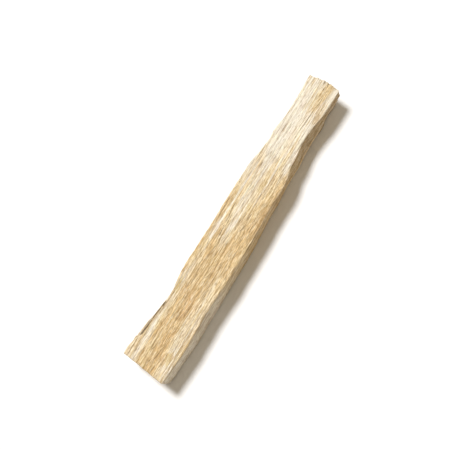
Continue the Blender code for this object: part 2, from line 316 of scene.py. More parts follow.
def lineAt(points, along):
    places, values = np.array(sorted(points), dtype=float).T
    return np.interp(along, places, values)


def calmLine(points, along):
    # the same line without its sharp steps, for what lies away from the edge
    steps = np.linspace(-1.0, 1.0, 9) * stick["calmOver"]
    return np.mean([lineAt(points, along + step) for step in steps], axis=0)


def bumpBetween(value, span, fade):
    return ease((value - span[0]) / fade) * ease((span[1] - value) / fade)


def ledgeSteps(ledges, y, w, side):
    out = np.zeros_like(w)
    start, end = stick["ledgeGrow"]
    share = blendTo(stick["ledgeNearShare"], 1.0, ease((y - start) / (end - start)))
    for height, step in ledges:
        rise = noiseAt(y / stick["ledgeWave"] + 5 * side, 30 * height)
        under = ease((height + stick["ledgeWander"] * rise - w) / stick["ledgeSoftness"])
        out = out + share * step * under * ease(w / stick["ledgeFade"])
    return out


def leftSide(y, w):
    x = blendTo(lineAt(stick["leftBottom"], y), lineAt(stick["leftTop"], y), w)
    steps = ledgeSteps(stick["leftLedges"], y, w, 0)
    splinter = bumpBetween(y, stick["splinter"], stick["splinterTaper"])
    upper = ease((stick["splinterTop"] - w) / stick["ledgeSoftness"])
    lower = ease((w - stick["splinterBottom"]) / stick["splinterBottom"])
    return x - steps - stick["splinterOut"] * splinter * upper * lower


def rightSide(y, w):
    x = blendTo(lineAt(stick["rightBottom"], y), lineAt(stick["rightTop"], y), w)
    facet = bumpBetween(y, stick["facet"], stick["facetTaper"])
    foot = ease((1.0 - w) / (1.0 - stick["facetHeight"])) * ease(w / stick["facetHeight"])
    return x + ledgeSteps(stick["rightLedges"], y, w, 1) + stick["facetOut"] * facet * foot


def nearEnd(x, w):
    z = w * stick["thickness"]
    sawn = reliefAt("nearEndSaw", x, z) + reliefAt("nearEndScratch", x + stick["sawSlant"] * z, z)
    end = stick["nearEnd"] + stick["nearSkew"] * x + stick["nearUndercut"] * (1.0 - w)
    fadeAcross, fadeUp = stick["nearNotchFade"]
    notch = ease((x - stick["nearNotchFrom"]) / fadeAcross)
    notch = notch * bumpBetween(w, stick["nearNotch"], fadeUp)
    return end + sawn + stick["nearNotchBack"] * notch


def farEnd(x, w):
    z = w * stick["thickness"]
    torn = reliefAt("farEndTear", x, z) + reliefAt("farEndStrands", x, z)
    corner = ease((x - stick["cornerFrom"]) / stick["cornerFade"])
    lower = ease((stick["cornerHeight"] - w) / (2 * stick["ledgeSoftness"]))
    notch = bumpBetween(w, stick["cornerNotch"], stick["ledgeSoftness"])
    end = stick["farEnd"] + stick["farSkew"] * x - stick["farCrown"] * x ** 2
    end = end - stick["farUndercut"] * (1.0 - w)
    return end + torn - corner * (stick["cornerBack"] * lower + stick["cornerNotchBack"] * notch)


def roundEdges(u, v, w):
    # draws in the edges of a unit block, by a radius that changes along each of them
    length = stick["farEnd"] - stick["nearEnd"]
    y = (v - 0.5) * length
    edge = 9 * np.round(u) + 5 * np.round(w)    # gives each long edge its own noise
    radius = stick["edgeRadius"] + reliefAt("edgeWear", edge, y) + reliefAt("edgeNibble", edge, y)
    radius = np.clip(radius, stick["edgeRadiusLeast"], None)
    size = np.array([[stick["nominalWidth"]], [length], [stick["thickness"]]])
    fromMiddle = (np.array([u, v, w]) - 0.5) * size
    past = np.clip(np.abs(fromMiddle) - (size / 2 - radius), 0.0, None)
    distance = np.maximum(np.linalg.norm(past, axis=0), 1e-9)
    drawnIn = past * (1.0 - past.max(axis=0) / distance)
    return 0.5 + (fromMiddle - np.sign(fromMiddle) * drawnIn) / size


def grainPlace(x, y):
    # where a point lies across the grain, which wanders and runs around the knot
    knotY, knotX = stick["knot"]
    apart = np.exp(-((x - knotX) ** 2 + ((y - knotY) / 1.7) ** 2) / stick["knotSize"] ** 2)
    wander = stick["grainWander"] * noiseAt(x / 6 + 7, y / 28 + 3)
    return x + wander - stick["knotPull"] * np.tanh((x - knotX) / 0.5) * apart


def crackLine(points, halfWidth, y):
    return lineAt(points, y) + stick["crackWaver"] * noiseAt(y / 1.3 + 100 * halfWidth, 0)


def drawToCracks(u, y, columns):
    # moves the nearest row of points onto each crack, so that its bottom is one clean line
    reach = stick["crackPull"] * np.median(np.diff(columns))
    fade = stick["crackEase"]
    left = calmLine(stick["leftTop"], y)
    width = calmLine(stick["rightTop"], y) - left
    for crack in stick["cracks"]:
        points, halfWidth = crack[:2]
        start, end = min(points)[0], max(points)[0]
        shares = (crackLine(points, halfWidth, y) - left) / width
        middle = np.array([0.5 * (start + end)])
        middleLeft = calmLine(stick["leftTop"], middle)
        middleWidth = calmLine(stick["rightTop"], middle) - middleLeft
        middleShare = (lineAt(points, middle) - middleLeft) / middleWidth
        column = columns[np.argmin(np.abs(columns - middleShare))]
        near = np.clip(1.0 - np.abs(u - column) / reach, 0.0, 1.0)
        along = bumpBetween(y, (start - fade, end + fade), fade)
        u = u + (shares - column) * near * along
    return u


# the depth of each crack, and the painted shade that darkens it
def crackMarks(x, y):
    depth = np.zeros_like(x)
    dark = np.zeros_like(x)
    for points, halfWidth, deep, darkness in stick["cracks"]:
        start, end = min(points)[0], max(points)[0]
        along = np.sqrt(np.clip((y - start) * (end - y), 0.0, None)) / (0.5 * (end - start))
        away = np.abs(x - crackLine(points, halfWidth, y))
        across = np.clip(1.0 - away / (halfWidth * (0.4 + 0.6 * along)), 0.0, 1.0)
        depth = np.maximum(depth, deep * across * along)
        dark = np.maximum(dark, darkness * ease(across * 1.4) * ease(along * 2))
    return depth, dark


def patchSum(patches, x, y):
    # soft patches with edges drawn out along the grain
    strayAcross, strayAlong = stick["patchRagged"]
    movedX = x + strayAcross * noiseAt(x / 0.9 + 3, y / 7 + 8)
    movedY = y + strayAlong * noiseAt(x / 0.6 + 5, y / 5 + 1)
    total = np.zeros_like(x)
    for placeX, placeY, halfWidth, halfLength, amount in patches:
        reach = ((movedX - placeX) / halfWidth) ** 2 + ((movedY - placeY) / halfLength) ** 2
        total = total + amount * ease(1.35 - 0.75 * reach)
    return total


def knotRing(x, y):
    # the small curl of darker grain around the knot
    knotY, knotX = stick["knot"]
    reach = np.hypot(x - knotX, (y - knotY) / 1.5)
    turn = np.arctan2(y - knotY, x - knotX)
    fromRing = reach - stick["ringReach"] - 0.12 * np.sin(2 * turn + 1)
    ring = np.exp(-(fromRing / stick["ringWidth"]) ** 2)
    return stick["ringShare"] * ring * (0.7 + 0.3 * np.sin(turn - 0.6))


def splitStripAt(x, y, z):
    # how much of each point lies in the strip where the sliver parted, which is cut down and
    # painted dark as shade
    width = lineAt(stick["splitStripWidth"], y) + stick["splitStripRagged"] * noiseAt(y / 0.8, 2)
    splitStepAndShade = bumpBetween(y, stick["splitStrip"], 1.0)
    splitStepAndShade = splitStepAndShade * ease((width * splitStepAndShade - (x - lineAt(stick["leftTop"], y))) / 0.14)
    return splitStepAndShade * ease((z - stick["splitStripFoot"] - 0.35 * noiseAt(y / 1.5, 12)) / 0.7)


def poreMarks(g, y, patch):
    sizeAcross, sizeAlong = stick["poreSize"]
    n = noiseAt(g / sizeAcross + patch, y / sizeAlong + 2 * patch)
    return ease((n - stick["poreLeast"]) / stick["poreSoftness"])


def gridPlaces(cells):
    t = np.linspace(0.0, 1.0, cells + 1)
    return t - stick["crowding"] * np.sin(2 * math.pi * t) / (2 * math.pi)


def shellGrid(across, along, up):
    # the faces of a block cut into cells, as shares of its size, with the quads facing out
    counts = (len(across), len(along), len(up))
    shell = np.ones(counts, bool)
    shell[1:-1, 1:-1, 1:-1] = False
    index = np.full(counts, -1)
    index[shell] = np.arange(shell.sum())
    i, j, k = np.nonzero(shell)
    quads = []
    for axis in range(3):
        for last in (False, True):
            plane = np.take(index, counts[axis] - 1 if last else 0, axis=axis)
            ring = [plane[:-1, :-1], plane[1:, :-1], plane[1:, 1:], plane[:-1, 1:]]
            if last == (axis == 1):
                ring = ring[::-1]
            quads.append(np.stack([corner.ravel() for corner in ring], axis=1))
    return np.array([across[i], along[j], up[k]]), np.concatenate(quads)


def faceNearness(x, z, left, right):
    # how near each point lies to the top, the underside and the sides, from 0 to 1
    deep, sideDeep = stick["reliefDepth"], stick["sideReliefDepth"]
    away = {"top": (stick["thickness"] - z) / deep, "bottom": z / deep,
            "left": (x - left) / sideDeep, "right": (right - x) / sideDeep}
    return {face: np.clip(1.0 - distance, 0.0, 1.0) for face, distance in away.items()}


def faceShares(v, near):
    # how much each point belongs to a face, with narrow soft borders; edge is the band along the
    # right edge of the grain face where a highlight is painted
    fromEnd = np.minimum(v, 1.0 - v) * (stick["farEnd"] - stick["nearEnd"])
    end = ease(1.2 - fromEnd / 0.3)
    top = ease(near["top"] * 10 - 9)
    side = (1 - top) * (1 - end)
    return {"end": end, "top": top, "bottom": ease(near["bottom"] * 6 - 5),
            "left": ease(near["left"] * 6 - 5) * side, "right": ease(near["right"] * 6 - 5) * side,
            "edge": top * ease(near["right"] * 8 - 7) * (1 - end)}


def woodMarks(x, y, w, on, pores, crackShade, splitStepAndShade):
    # the marks that the material reads, apart from the grain's shift
    upper = ease((w - stick["brownHalves"] - 0.08 * noiseAt(y / 9, 6)) / 0.12)
    brown = blendTo(lineAt(stick["brownLower"], y), lineAt(stick["brownUpper"], y), upper)
    # painted shade: a brown line under the overhanging edge of the grain face
    underEdgeShade = bumpBetween(w, stick["underEdgeShade"], 0.05)
    underEdgeShade = underEdgeShade * (stick["underEdgeShadeShare"] + 0.3 * noiseAt(y / 2.2, 4))
    # painted shade at the foot of the right side, laid on as brown and as dark
    foot = ease(1.0 - w / stick["footHeight"]) * ease((y - stick["footFrom"]) / 8)
    brown = (brown + underEdgeShade + stick["footShadeBrown"] * foot) * on["right"]
    brown = brown + stick["brownLeft"] * on["left"] + stick["brownEnds"] * on["end"]
    pale = lineAt(stick["paleAlong"], y) + patchSum(stick["palePatches"], x, y)
    flecks = blendTo(1.0, stick["flecksOnPale"], ease((pale - 0.4) / 0.7))
    orange = np.maximum(patchSum(stick["orangePatches"], x, y), knotRing(x, y))
    sidePores = pores["side"] * (on["left"] + on["right"])
    allPores = pores["top"] * on["top"] + sidePores + pores["bottom"] * on["bottom"]
    foot = stick["footShade"] * foot * on["right"]
    return {
        # painted shade: in the cracks, in the split strip and at the foot of the right side
        "paintedShadeMark": np.maximum.reduce([crackShade * on["top"], splitStepAndShade, foot]),
        "poreMark": np.clip(allPores, 0.0, 1.0),
        "paleMark": blendTo(lineAt(stick["paleSide"], y), pale, on["top"]),
        "fleckMark": blendTo(stick["flecksOnSides"], flecks, on["top"]),
        "orangeMark": orange * on["top"],
        "yellowMark": patchSum(stick["yellowPatches"], x, y) * on["top"],
        "brownMark": np.clip(brown, 0.0, 1.0),
        "paintedEdgeHighlight": on["edge"],
        "endMark": on["end"],
    }


def shapeStick(u, v, w, columns):
    # places points of a unit block on the stick's surface and gives the marks for its material
    u, v, w = roundEdges(u, v, w)
    middleX = (u - 0.5) * stick["nominalWidth"]
    y = blendTo(nearEnd(middleX, w), farEnd(middleX, w), v)
    u = drawToCracks(u, y, columns)
    left, right = leftSide(y, w), rightSide(y, w)
    calmLeft, calmRight = calmLine(stick["leftTop"], y), calmLine(stick["rightTop"], y)
    x = (blendTo(calmLeft, calmRight, u) + (left - calmLeft) * ease(1.0 - u / stick["calmFrom"])
         + (right - calmRight) * ease(1.0 - (1.0 - u) / stick["calmFrom"]))
    z = w * stick["thickness"]
    near = faceNearness(x, z, left, right)

    grain = grainPlace(x, y)
    layer = z + stick["layerWaver"] * noiseAt(y / 22 + 9, z / 3)
    pores = {"top": poreMarks(grain, y, 17), "side": poreMarks(layer, y, 29),
             "bottom": poreMarks(grain, y, 41)}
    crack, crackShade = crackMarks(x, y)
    # the split strip is cut down into the wood and painted dark as the shade of the gap
    splitStepAndShade = splitStripAt(x, y, z)
    deep = stick["poreDepth"]
    topRelief = (reliefAt("topWave", x, y) + reliefAt("topFlutes", x, y)
                 + reliefAt("topRidges", grain, y) + reliefAt("topFibres", grain, y)
                 - deep * pores["top"] - crack - stick["splitStripDepth"] * splitStepAndShade)
    sideRelief = (reliefAt("sideRidges", layer, y) + reliefAt("sideFibres", layer, y)
                  - deep * pores["side"])
    hollow = np.clip(reliefAt("hollows", x, y) - stick["hollowLeast"], 0.0, None)
    hollow = hollow * ease(np.abs(x) - stick["flatStrip"])
    sawMarks = reliefAt("bottomSaw", x, y + stick["bottomSawSlant"] * x)
    bottomRelief = (hollow + np.clip(sawMarks, 0.0, None)
                    + stick["bottomPoreShare"] * deep * pores["bottom"])

    movedZ = z + topRelief * near["top"] + bottomRelief * near["bottom"]
    movedX = (x - (reliefAt("leftWave", z, y) + sideRelief) * near["left"]
              + (reliefAt("rightWave", z, y) + sideRelief) * near["right"])
    marks = woodMarks(x, y, w, faceShares(v, near), pores, crackShade, splitStepAndShade)
    marks["grainShift"] = grain - x
    return movedX, y, movedZ, marks


def meshFrom(name, points, faces, marks):
    mesh = bpy.data.meshes.new(name)
    mesh.from_pydata(points.tolist(), [], list(faces))
    for markName, values in marks.items():
        layer = mesh.attributes.new(markName, "FLOAT", "POINT")
        layer.data.foreach_set("value", values.astype(np.float32))
    mesh.update()
    mesh.shade_smooth()
    piece = bpy.data.objects.new(name, mesh)
    bpy.context.collection.objects.link(piece)
    return piece


def buildStick():
    across = gridPlaces(stick["cellsAcross"])
    along, up = gridPlaces(stick["cellsAlong"]), gridPlaces(stick["cellsUp"])
    shares, quads = shellGrid(across, along, up)
    x, y, z, marks = shapeStick(*shares, across)
    # centred on the solid, with the underside on the ground
    low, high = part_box("stick")
    shift = np.array([0.5 * (low[0] + high[0]) / mm - 0.5 * (x.min() + x.max()),
                      0.5 * (low[1] + high[1]) / mm - 0.5 * (y.min() + y.max()),
                      low[2] / mm - z.min()])
    points = (np.array([x, y, z]).T + shift) * mm
    return meshFrom("stickBody", points, quads, marks), shift


# The camera looks down on the grain face, leaning towards the near end and the right side.
photoCamera = {
    "widthPx": 450.0,
    "middlePx": (236.67, 221.7),   # where the middle of the grain face shows
    "focalPx": 1035.0,
    "distance": 295.0,
    "leanRight": 13.8,             # degrees from straight above
    "leanNear": 11.6,
    "roll": 58.1,                  # of the stick's length above the picture's level
    "grainFaceHeight": 8.0,
    "sensor": 36.0,
}


def addCamera(shift):
    p = photoCamera
    leanRight, leanNear = math.radians(p["leanRight"]), math.radians(p["leanNear"])
    away = np.array([math.sin(leanRight), -math.sin(leanNear), 0.0])
    away[2] = math.sqrt(1.0 - away @ away)
    alongPicture = np.array([0.0, 1.0, 0.0]) - away[1] * away
    alongPicture /= np.linalg.norm(alongPicture)
    acrossPicture = np.cross(away, alongPicture)
    roll = math.radians(p["roll"])
    right = math.cos(roll) * alongPicture - math.sin(roll) * acrossPicture
    up = math.sin(roll) * alongPicture + math.cos(roll) * acrossPicture
    half = p["widthPx"] / 2
    perPx = p["distance"] / p["focalPx"]
    middle = np.array([0.0, 0.0, p["grainFaceHeight"]]) + shift
    place = middle + away * p["distance"]
    place -= right * (p["middlePx"][0] - half) * perPx
    place -= up * (half - p["middlePx"][1]) * perPx

    lens = bpy.data.cameras.new("photoCamera")
    lens.sensor_width = p["sensor"]
    lens.lens = p["focalPx"] / p["widthPx"] * p["sensor"]
    lens.clip_start = 0.005
    camera = bpy.data.objects.new("photoCamera", lens)
    turn = Matrix([right, up, away]).transposed()
    camera.matrix_world = Matrix.Translation(place * mm) @ turn.to_4x4()
    bpy.context.collection.objects.link(camera)
    bpy.context.scene.camera = camera


# The loose sliver beside the split: points of (along, across) for its inner and outer side, and
# of (along, height) for its top and foot.
sliver = {
    "inner": [(-43.5, -6.4), (-41, -6.48), (-39, -6.4), (-37, -6.32), (-35, -6.24), (-31.5, -6.0)],
    "outer": [
        (-43.5, -7.3), (-42, -7.32), (-40, -7.26), (-38, -7.08), (-36, -6.76), (-34, -6.48),
        (-31.5, -6.1),
    ],
    "top": [(-43.5, 7.4), (-41, 7.6), (-38.5, 7.45), (-36.5, 7.0), (-33, 6.6), (-31.5, 5.6)],
    "foot": [(-43.5, 2.2), (-36, 2.6), (-33, 3.4), (-31.5, 4.6)],
    "squareness": 0.35,
    "roughness": 0.05,
    "topWaver": 0.18,
    "pale": 1.0,                   # tones, as shares
    "flecks": 0.7,
    "brown": 0.1,
    "rings": 90,
    "sides": 24,
}


def buildSliver(shift):
    rings, sides = sliver["rings"], sliver["sides"]
    y = np.linspace(sliver["inner"][0][0], sliver["inner"][-1][0], rings)[:, None]
    turn = np.linspace(0.0, 2 * math.pi, sides, endpoint=False)[None, :]
    across = np.sign(np.cos(turn)) * np.abs(np.cos(turn)) ** sliver["squareness"]
    up = np.sign(np.sin(turn)) * np.abs(np.sin(turn)) ** sliver["squareness"]
    inner, outer = lineAt(sliver["inner"], y), lineAt(sliver["outer"], y)
    top, foot = lineAt(sliver["top"], y), lineAt(sliver["foot"], y)
    top = top + sliver["topWaver"] * noiseAt(y / 0.9, 3)
    x = 0.5 * (inner + outer) + 0.5 * (inner - outer) * across
    z = 0.5 * (top + foot) + 0.5 * (top - foot) * up
    x = x + sliver["roughness"] * noiseAt(z / 0.3 + 8, y / 4)
    points = np.stack(np.broadcast_arrays(x, y, z), axis=2).reshape(-1, 3)
    ring = np.arange(rings * sides).reshape(rings, sides)
    after = np.roll(ring, -1, axis=1)
    quads = np.stack([ring[:-1], ring[1:], after[1:], after[:-1]], axis=2).reshape(-1, 4)
    faces = quads.tolist() + [ring[0].tolist(), ring[-1][::-1].tolist()]
    marks = {"paleMark": np.full(len(points), sliver["pale"]),
             "fleckMark": np.full(len(points), sliver["flecks"]),
             "brownMark": np.full(len(points), sliver["brown"])}
    return meshFrom("sliver", (points + shift) * mm, faces, marks)


# Loose fibres: splinters that lift off the edges and stand out of the torn end.
looseFibres = {
    "edgeCount": 420,
    "edgeShares": (0.3, 0.42, 0.12, 0.16),    # upper left and right edge, lower left and right
    "offEdge": 0.05,               # share of the face that they spread over
    "span": (0.02, 0.97),          # shares of the stick's length
    "length": (0.8, 3.4),
    "thickness": (0.025, 0.06),
    "lift": (0.0, 0.1),            # how far the tip stands off the wood
    "bend": (-0.01, 0.05),
    "endCount": 150,
    "endCrowding": 1.6,            # crowds them towards the grain face
    "endSunk": 0.15,
    "endLength": (0.25, 0.7),
    "endOut": 0.45,
    "endLean": 0.12,
    "endBend": 0.04,
    "endThickness": (0.03, 0.075),
    "pale": (0.3, 0.9),            # at the near half and at the far end
    "flecks": 0.5,
    "brown": 0.25,
    "clearance": 0.02,             # above the ground
    "rings": 6,
    "sides": 5,
    "seed": 5,
}


def fibreMesh(roots, tips, bends, radii):
    # tapered tubes from each root to its tip
    rings, sides = looseFibres["rings"], looseFibres["sides"]
    along = np.linspace(0.0, 1.0, rings)[None, :, None]
    turn = np.linspace(0.0, 2 * math.pi, sides, endpoint=False)[None, None, :, None]
    direction = tips - roots
    direction = direction / np.linalg.norm(direction, axis=1, keepdims=True)
    sideways = np.cross(direction, (0.13, 0.2, 0.97))
    sideways /= np.linalg.norm(sideways, axis=1, keepdims=True)
    upwards = np.cross(sideways, direction)
    middles = blendTo(roots[:, None, :], tips[:, None, :], along)
    middles = middles + bends[:, None, :] * along * (1 - along) * 4
    radius = radii[:, None, None] * (1.0 - 0.92 * along ** 1.5)
    around = (np.cos(turn) * sideways[:, None, None, :]
              + 0.7 * np.sin(turn) * upwards[:, None, None, :])
    points = middles[:, :, None, :] + radius[..., None] * around
    index = np.arange(len(roots) * rings * sides).reshape(len(roots), rings, sides)
    after = np.roll(index, -1, axis=2)
    quads = np.stack([index[:, :-1], after[:, :-1], after[:, 1:], index[:, 1:]], axis=3)
    faces = quads.reshape(-1, 4).tolist() + index[:, 0, ::-1].tolist() + index[:, -1].tolist()
    return points.reshape(-1, 3), faces


def surfacePoints(u, v, w):
    x, y, z = shapeStick(u, v, w, gridPlaces(stick["cellsAcross"]))[:3]
    return np.stack([x, y, z], axis=1)


def edgeFibres(random):
    # along the four long edges, most of them on the two upper ones
    f = looseFibres
    count = f["edgeCount"]
    edge = random.choice(4, count, p=f["edgeShares"])
    left, upper = edge % 2 == 0, edge < 2
    u = np.where(left, 0.0, 1.0)
    w = np.where(upper, 1.0, 0.0)
    off = random.uniform(0.0, f["offEdge"], count)
    onSide = random.uniform(size=count) < 0.5
    u = np.where(onSide, u, np.abs(u - off))
    w = np.where(onSide, np.abs(w - off), w)
    v = random.uniform(*f["span"], count)
    length = random.uniform(*f["length"], count) * random.choice([-1.0, 1.0], count)
    roots = surfacePoints(u, v, w)
    tipPlace = np.clip(v + length / (stick["farEnd"] - stick["nearEnd"]), 0.005, 0.99)
    tips = surfacePoints(u, tipPlace, w)
    outward = np.stack([np.where(left, -1.0, 1.0), np.zeros(count), np.where(upper, 0.8, 0.2)],
                       axis=1)
    outward /= np.linalg.norm(outward, axis=1, keepdims=True)
    tips += outward * random.uniform(*f["lift"], count)[:, None]
    bends = outward * random.uniform(*f["bend"], count)[:, None]
    radii = random.uniform(*f["thickness"], count)
    return roots - outward * radii[:, None], tips, bends, radii


def endFibres(random):
    # out of the torn far end
    f = looseFibres
    count = f["endCount"]
    u = random.uniform(0.02, 0.98, count)
    w = 1.0 - random.uniform(0.0, 1.0, count) ** f["endCrowding"] * 0.97
    ends = surfacePoints(u, np.ones(count), w)
    reach = random.uniform(*f["endLength"], count)
    lean = random.uniform(-f["endLean"], f["endLean"], (count, 3))
    lean[:, 1] = 0.0
    out = np.stack([np.zeros(count), f["endOut"] * reach, np.zeros(count)], axis=1)
    radii = random.uniform(*f["endThickness"], count)
    tips = ends + out + lean * reach[:, None]
    return ends - (0.0, f["endSunk"], 0.0), tips, f["endBend"] * lean, radii


def buildFibres(shift):
    random = np.random.default_rng(looseFibres["seed"])
    kinds = (edgeFibres(random), endFibres(random))
    roots, tips, bends, radii = (np.concatenate(values) for values in zip(*kinds))
    places, faces = fibreMesh(roots, tips, bends, radii)
    places[:, 2] = np.maximum(places[:, 2], -shift[2] + looseFibres["clearance"])
    marks = {
        "paleMark": blendTo(*looseFibres["pale"], ease((places[:, 1] + 10) / 40)),
        "fleckMark": np.full(len(places), looseFibres["flecks"]),
        "brownMark": looseFibres["brown"] * ease(1.0 - places[:, 2] / stick["thickness"]),
    }
    return meshFrom("looseFibres", (places + shift) * mm, faces, marks)


print("shaping the stick")
stickBody, stickShift = buildStick()
print("adding the sliver")
looseSliver = buildSliver(stickShift)
print("adding loose fibres")
fibrePiece = buildFibres(stickShift)
print("placing the camera")
addCamera(stickShift)


def addNode(tree, kind, values=None, **settings):
    # places a shader node, sets its settings, then links or sets its inputs
    node = tree.nodes.new(kind)
    node.location = (200 * (len(tree.nodes) % 12), -260 * (len(tree.nodes) // 12))
    for name, value in settings.items():
        setattr(node, name, value)
    for name, value in (values or {}).items():
        if isinstance(value, bpy.types.NodeSocket):
            tree.links.new(value, node.inputs[name])
        else:
            node.inputs[name].default_value = value
    return node


def maths(tree, operation, a, b=0.0):
    return addNode(tree, "ShaderNodeMath", {0: a, 1: b}, operation=operation).outputs[0]


def product(tree, first, *others):
    for value in others:
        first = maths(tree, "MULTIPLY", first, value)
    return first


def vectorMaths(tree, operation, values):
    return addNode(tree, "ShaderNodeVectorMath", values, operation=operation).outputs[0]


def spread(tree, value, low, high, to=(0.0, 1.0)):
    # stretches a value from low and high to the given range, eased and held at its ends
    node = addNode(tree, "ShaderNodeMapRange", {"Value": value, "From Min": low, "From Max": high,
                                                "To Min": to[0], "To Max": to[1]},
                   interpolation_type="SMOOTHSTEP")
    return node.outputs["Result"]


def mixColour(tree, share, a, b, way="MIX"):
    # sockets 6 and 7 take the two colours, and output 2 gives the mixed one
    node = addNode(tree, "ShaderNodeMix", {0: share, 6: a, 7: b}, data_type="RGBA", blend_type=way)
    return node.outputs[2]


def newGroup(name, numbers, output):
    # takes a place and some numbers with their first values, and gives one number
    tree = bpy.data.node_groups.new(name, "ShaderNodeTree")
    tree.interface.new_socket(name="Place", in_out="INPUT", socket_type="NodeSocketVector")
    for label, value in numbers.items():
        socket = tree.interface.new_socket(name=label, in_out="INPUT",
                                           socket_type="NodeSocketFloat")
        socket.default_value = value
    tree.interface.new_socket(name=output, in_out="OUTPUT", socket_type="NodeSocketFloat")
    entry = tree.nodes.new("NodeGroupInput")
    leave = tree.nodes.new("NodeGroupOutput")
    return tree, entry.outputs, leave.inputs


def placeGroup(tree, group, values):
    return addNode(tree, "ShaderNodeGroup", values, node_tree=group).outputs


def millimetres(tree):
    # the place on the stick in mm, the same on every piece
    place = addNode(tree, "ShaderNodeTexCoord").outputs["Object"]
    return vectorMaths(tree, "SCALE", {0: place, "Scale": 1000.0})


def readMark(tree, name):
    return addNode(tree, "ShaderNodeAttribute", attribute_name=name).outputs["Fac"]


# The look of the split wood. Sizes are in mm.
woodLook = {
    # noise drawn out along the grain: size across, size along, wander, patch, detail
    "grain": {
        "broad": (1.5, 45.0, 1.5, 1.3, 2.0),
        "streaks": (0.45, 34.0, 0.5, 7.1, 3.0),
        "lines": (0.32, 26.0, 0.4, 15.0, 2.0),
        "veins": (0.75, 15.0, 0.3, 27.0, 1.5),
        "fine": (0.22, 3.6, 0.3, 4.4, 3.0),
        "fibres": (0.09, 5.0, 0.6, 2.2, 2.0),
        "pinkish": (1.4, 6.0, 2.0, 33.0, 2.0),
        "greenish": (1.1, 5.0, 2.0, 47.0, 2.0),
    },
    # dashes: size across, size along, least value that shows, softness, patch
    "dashes": {
        "darkFlecks": (0.16, 1.5, 0.49, 0.18, 5.0),
        # pale flecks of the grain, which also stand in as painted sheen
        "paleFlecksAndSheen": (0.16, 1.8, 0.49, 0.18, 12.0),
        "pores": (0.11, 1.3, 0.58, 0.12, 21.0),
    },
    "layerHeart": (26.0, 14.0),    # the layers' middle lies this far to the left and down
    "layerSpacing": 1.7,
    "layerWobble": 2.6,
    # how much these change the paleness
    "shade": {"broad": 1.15, "streaks": -1.5},
    # how strongly each is laid over the colour under it; edge lays on the painted highlight along
    # the right top edge
    "shares": {
        "streaks": 0.5, "veins": 0.9, "brown": 0.85, "fineLights": 0.55, "paleFlecksAndSheen": 0.6,
        "fineDarks": 0.7, "darkFlecks": 0.8, "pores": 0.7, "meshPores": 0.25, "edge": 0.5,
    },
    "roughness": (0.62, 0.3),      # least, and what the fine grain adds
    "specular": 0.3,
    # how far each stands up out of the wood or is cut into it, as shares of the depth
    "bump": {
        "fibres": 0.8, "streaks": 1.0, "pores": -0.45, "darkFlecks": -0.2, "lines": -0.6,
        "veins": -0.4,
    },
    "bumpStrength": 0.8,
    "bumpDepth": 0.0001,           # in metres
    "colours": {
        "ivory": (0.97, 0.925, 0.815, 1.0),
        "cream": (0.94, 0.755, 0.46, 1.0),
        "honey": (0.885, 0.635, 0.32, 1.0),
        "tan": (0.36, 0.21, 0.078, 1.0),
        "fleck": (0.36, 0.232, 0.1, 1.0),
        "orange": (0.66, 0.40, 0.175, 1.0),
        "yellow": (0.78, 0.58, 0.22, 1.0),
        "brown": (0.40, 0.235, 0.085, 1.0),
        # painted shade: the colour laid in the cracks, in the split strip and at the foot of the
        # right side
        "crack": (0.075, 0.044, 0.02, 1.0),
        # the pale of the fine light grain, and of the painted sheen in the pale flecks and the
        # painted highlight along the right top edge
        "pale": (0.99, 0.885, 0.66, 1.0),
        "pink": (1.0, 0.93, 0.93, 1.0),    # these two tint what is under them
        "olive": (0.95, 0.97, 0.84, 1.0),
    },
}


def makeFibreGrain():
    # noise drawn out along the grain: streaks on the long faces, dots on the ends
    tree, given, out = newGroup("fibreGrain", {
        "Across": 0.4, "Along": 6.0, "Wander": 0.4, "Patch": 0.0, "Detail": 2.0}, "Value")
    parts = addNode(tree, "ShaderNodeSeparateXYZ", {0: given["Place"]}).outputs
    slow = vectorMaths(tree, "MULTIPLY", {0: given["Place"], 1: (0.13, 0.03, 0.13)})
    bend = addNode(tree, "ShaderNodeTexNoise", {"Vector": slow, "Scale": 1.0, "Detail": 1.0})
    pull = addNode(tree, "ShaderNodeSeparateXYZ", {0: bend.outputs["Color"]}).outputs

    def bentPart(part, pulled):
        moved = product(tree, maths(tree, "SUBTRACT", pulled, 0.5), given["Wander"])
        return maths(tree, "DIVIDE", maths(tree, "ADD", part, moved), given["Across"])

    along = maths(tree, "DIVIDE", parts[1], given["Along"])
    drawn = addNode(tree, "ShaderNodeCombineXYZ", {
        0: bentPart(parts[0], pull[0]), 1: maths(tree, "ADD", along, given["Patch"]),
        2: bentPart(parts[2], pull[1])})
    noise = addNode(tree, "ShaderNodeTexNoise", {
        "Vector": drawn.outputs[0], "Scale": 1.0, "Detail": given["Detail"], "Roughness": 0.55})
    tree.links.new(noise.outputs["Fac"], out["Value"])
    return tree


def makeDashes(fibreGrain):
    # short dashes, for the pores and torn fibres that show as flecks
    tree, given, out = newGroup("grainDashes", {
        "Across": 0.3, "Along": 2.0, "Least": 0.6, "Softness": 0.1, "Patch": 0.0}, "Mask")
    value = placeGroup(tree, fibreGrain, {
        "Place": given["Place"], "Across": given["Across"], "Along": given["Along"], "Wander": 0.3,
        "Patch": given["Patch"], "Detail": 1.0})["Value"]
    top = maths(tree, "ADD", given["Least"], given["Softness"])
    tree.links.new(spread(tree, value, given["Least"], top), out["Mask"])
    return tree


